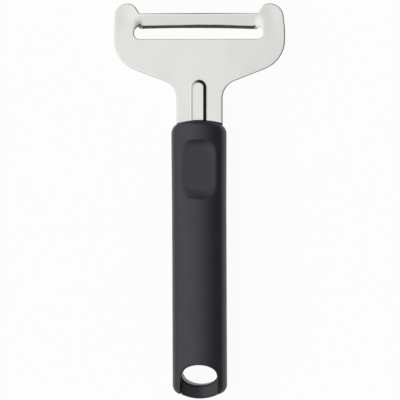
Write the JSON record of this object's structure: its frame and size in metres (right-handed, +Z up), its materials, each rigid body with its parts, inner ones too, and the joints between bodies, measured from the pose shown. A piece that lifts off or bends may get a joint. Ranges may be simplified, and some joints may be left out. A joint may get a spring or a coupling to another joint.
{
  "type": "cheese slicer",
  "caption": "Hand-held cheese slicer: a stamped stainless plate with a slotted, bevelled blade bar and a dark two-part moulded handle with a hanging loop.",
  "frame": {"origin": "on the table under the middle of the slicer's length and width, where the flat land of the handle's back rests", "axes": "+Y from the hanging loop to the head, +Z up out of the blade's upper face, +X across the slicer"},
  "size_m": [0.0908, 0.21, 0.018],
  "materials": {
    "stainless_sheet": "fine satin stainless sheet, with bright broken edges and a ground cutting bevel",
    "hard_core": "moulded anthracite polypropylene, fine matte",
    "grip_skin": "moulded anthracite elastomer skin, fine matte spark-eroded texture"
  },
  "bodies": {
    "root": {"blade_plate": "stainless_sheet", "handle_core": "hard_core", "grip_sleeve": "grip_skin"}
  },
  "joints": []
}
